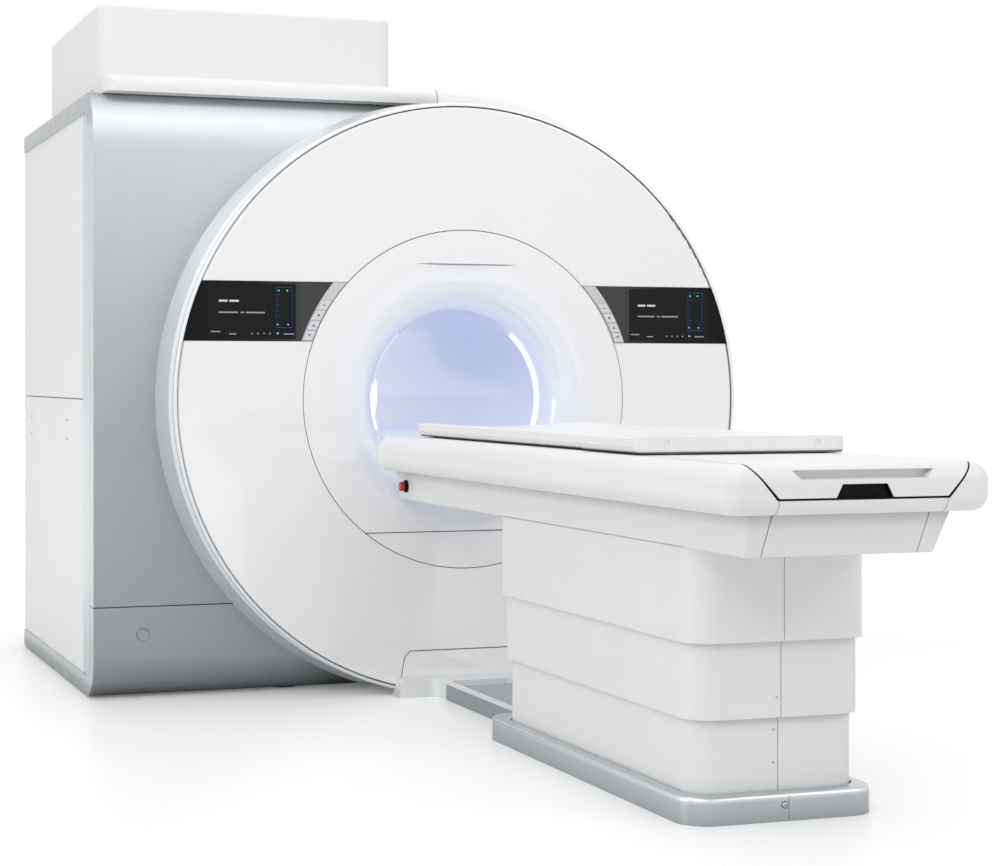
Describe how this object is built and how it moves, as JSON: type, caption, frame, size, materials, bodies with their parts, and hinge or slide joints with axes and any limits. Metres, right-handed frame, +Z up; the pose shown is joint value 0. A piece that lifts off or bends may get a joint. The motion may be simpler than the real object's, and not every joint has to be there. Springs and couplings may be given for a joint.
{
  "type": "combined mr and pet scanner",
  "caption": "White and silver whole-body MR and PET scanner with a round front disc, lit bore, side screens and a docked lifting patient table with a sliding cradle.",
  "frame": {"origin": "on the floor straight below the isocentre of the gantry", "axes": "+Z up; +Y from the patient table through the bore to the back of the gantry; +X to the right seen from the table"},
  "size_m": [2.367, 4.907, 2.37],
  "materials": {
    "white_paint": "satin white powder coat",
    "silver_paint": "satin metallic silver paint",
    "gloss_white": "polished white moulding",
    "table_white": "fine matte white moulding",
    "bore_plastic": "pale translucent bore lining",
    "screen_glass": "dark display glass",
    "keypad_grey": "pale grey keypad",
    "key_white": "soft-touch keys",
    "black_plastic": "black moulding",
    "stop_red": "red push button",
    "bare_metal": "anodised aluminium",
    "frame_steel": "dark grey paint",
    "vessel_steel": "brushed stainless steel",
    "carrier_steel": "grey primer",
    "coil_resin": "cast epoxy",
    "detector_case": "dark module casings"
  },
  "bodies": {
    "gantry": {"base_frame": "frame_steel", "magnet_vessel": "vessel_steel", "gradient_coil": "coil_resin", "body_coil": "coil_resin", "detector_ring": "detector_case", "bore_tube": "bore_plastic", "bore_bridge": "gloss_white", "cold_head": "vessel_steel", "front_upper_shell": "silver_paint", "front_lower_shell": "silver_paint", "service_plug": "silver_paint", "left_upper_panel": "white_paint", "left_lower_panel": "white_paint", "corner_strip": "white_paint", "top_cover_left": "white_paint", "top_cover_right": "white_paint", "right_side_cover": "white_paint", "rear_cover": "white_paint", "rear_funnel": "gloss_white", "turret_cover": "white_paint", "ring_bezel": "silver_paint", "front_carrier": "carrier_steel", "face_upper": "gloss_white", "face_lower": "gloss_white", "bore_funnel": "gloss_white", "funnel_lower_panel": "gloss_white", "dock_cover": "gloss_white", "light_strips": "bore_plastic", "screen_left": "screen_glass", "screen_right": "screen_glass", "keypad_left": "keypad_grey", "keypad_right": "keypad_grey", "floor_dock": "silver_paint", "table_base": "silver_paint", "base_screw": "bare_metal", "lower_shell": "table_white", "lift_tube_fixed": "bare_metal"},
    "column_middle": {"mid_shell": "table_white", "lift_tube_mid": "bare_metal"},
    "table_top": {"upper_shell": "table_white", "lift_tube_top": "bare_metal", "tray": "table_white", "tray_end_panel": "table_white", "table_body": "table_white", "end_cap": "table_white", "cradle_rails": "bare_metal", "estop_collars": "black_plastic"},
    "lever": {"release_lever": "black_plastic"},
    "bed": {"cradle": "table_white"},
    "stop_l": {"estop_left": "stop_red"},
    "stop_r": {"estop_right": "stop_red"},
    "button_key_left_1": {"key_left_1": "key_white"},
    "button_key_left_2": {"key_left_2": "key_white"},
    "button_key_left_3": {"key_left_3": "key_white"},
    "button_key_left_4": {"key_left_4": "key_white"},
    "button_key_right_1": {"key_right_1": "key_white"},
    "button_key_right_2": {"key_right_2": "key_white"},
    "button_key_right_3": {"key_right_3": "key_white"},
    "button_key_right_4": {"key_right_4": "key_white"}
  },
  "joints": [
    {"name": "table_lift", "type": "slide", "parent": "gantry", "child": "table_top", "axis": [0, 0, 1], "range_m": [-0.35, 0]},
    {"name": "column_lift", "type": "slide", "parent": "gantry", "child": "column_middle", "axis": [0, 0, 1], "range_m": [-0.175, 0]},
    {"name": "cradle_slide", "type": "slide", "parent": "table_top", "child": "bed", "axis": [0, 1, 0], "range_m": [0, 1.8]},
    {"name": "release_pull", "type": "hinge", "parent": "table_top", "child": "lever", "pos_m": [0, -3.688, 0.836], "axis": [1, 0, 0], "range_deg": [0, 12], "stiffness_Nm_per_rad": 1.2, "springref_deg": -11.46},
    {"name": "stop_press_left", "type": "slide", "parent": "table_top", "child": "stop_l", "axis": [1, 0, 0], "range_m": [0, 0.003], "stiffness_N_per_m": 1500, "springref_m": -0.002},
    {"name": "stop_press_right", "type": "slide", "parent": "table_top", "child": "stop_r", "axis": [-1, 0, 0], "range_m": [0, 0.003], "stiffness_N_per_m": 1500, "springref_m": -0.002},
    {"name": "press_key_left_1", "type": "slide", "parent": "gantry", "child": "button_key_left_1", "axis": [0, 1, 0], "range_m": [0, 0.0015], "stiffness_N_per_m": 900, "springref_m": -0.001},
    {"name": "press_key_left_2", "type": "slide", "parent": "gantry", "child": "button_key_left_2", "axis": [0, 1, 0], "range_m": [0, 0.0015], "stiffness_N_per_m": 900, "springref_m": -0.001},
    {"name": "press_key_left_3", "type": "slide", "parent": "gantry", "child": "button_key_left_3", "axis": [0, 1, 0], "range_m": [0, 0.0015], "stiffness_N_per_m": 900, "springref_m": -0.001},
    {"name": "press_key_left_4", "type": "slide", "parent": "gantry", "child": "button_key_left_4", "axis": [0, 1, 0], "range_m": [0, 0.0015], "stiffness_N_per_m": 900, "springref_m": -0.001},
    {"name": "press_key_right_1", "type": "slide", "parent": "gantry", "child": "button_key_right_1", "axis": [0, 1, 0], "range_m": [0, 0.0015], "stiffness_N_per_m": 900, "springref_m": -0.001},
    {"name": "press_key_right_2", "type": "slide", "parent": "gantry", "child": "button_key_right_2", "axis": [0, 1, 0], "range_m": [0, 0.0015], "stiffness_N_per_m": 900, "springref_m": -0.001},
    {"name": "press_key_right_3", "type": "slide", "parent": "gantry", "child": "button_key_right_3", "axis": [0, 1, 0], "range_m": [0, 0.0015], "stiffness_N_per_m": 900, "springref_m": -0.001},
    {"name": "press_key_right_4", "type": "slide", "parent": "gantry", "child": "button_key_right_4", "axis": [0, 1, 0], "range_m": [0, 0.0015], "stiffness_N_per_m": 900, "springref_m": -0.001}
  ],
  "couplings": [
    {"joint": "column_lift", "follows": "table_lift", "ratio": 0.5}
  ]
}
